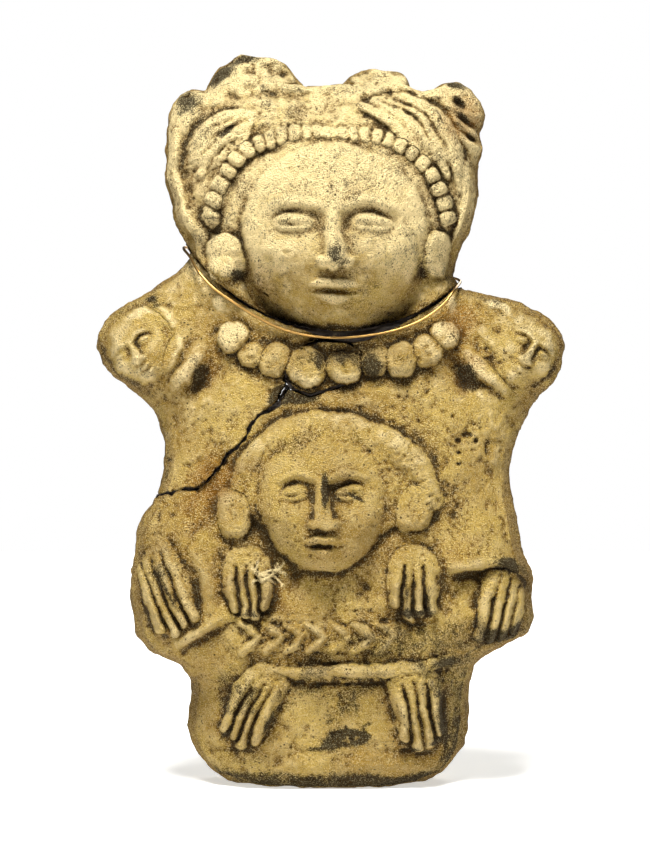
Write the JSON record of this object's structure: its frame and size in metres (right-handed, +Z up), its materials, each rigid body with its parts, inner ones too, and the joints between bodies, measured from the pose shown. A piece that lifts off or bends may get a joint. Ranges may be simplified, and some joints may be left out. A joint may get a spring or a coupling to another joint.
{
  "type": "ceramic figure",
  "caption": "Hollow press-moulded clay figure of a seated person with a headdress, beaded collar and a face on the chest, mended from sherds, with a wire loop round its neck.",
  "frame": {"origin": "on the flat base below the middle of the figure", "axes": "+Z up along the height; the figure looks along -Y; +X to the viewer's right"},
  "size_m": [0.1911, 0.0709, 0.2883],
  "materials": {
    "fired_clay": "worn matt buff earthenware with grit, ochre and dark stains",
    "crack_adhesive": "dark set adhesive, dull with a faint sheen",
    "brass_wire": "drawn brass wire, slightly dulled"
  },
  "bodies": {
    "root": {"head_front_shell": "fired_clay", "head_back_wall": "fired_clay", "body_front_shell": "fired_clay", "body_back_wall": "fired_clay", "shoulder_front_shell": "fired_clay", "shoulder_back_wall": "fired_clay", "collar_sherd": "fired_clay", "headband": "fired_clay", "left_ear_spool": "fired_clay", "right_ear_spool": "fired_clay", "left_tuft": "fired_clay", "right_tuft": "fired_clay", "left_shoulder_face": "fired_clay", "right_shoulder_face": "fired_clay", "pectoral_head": "fired_clay", "left_pectoral_spool": "fired_clay", "right_pectoral_spool": "fired_clay", "left_upper_hand": "fired_clay", "right_upper_hand": "fired_clay", "left_knee_hand": "fired_clay", "right_knee_hand": "fired_clay", "left_foot": "fired_clay", "right_foot": "fired_clay", "belt": "fired_clay", "woven_band": "fired_clay", "left_bead_1": "fired_clay", "left_bead_2": "fired_clay", "left_bead_3": "fired_clay", "middle_bead_1": "fired_clay", "middle_bead_2": "fired_clay", "right_bead_1": "fired_clay", "right_bead_2": "fired_clay", "right_bead_3": "fired_clay", "right_bead_4": "fired_clay", "neck_fill": "crack_adhesive", "shoulder_crack_fill": "crack_adhesive", "collar_crack_fill": "crack_adhesive", "neck_wire": "brass_wire"}
  },
  "joints": []
}
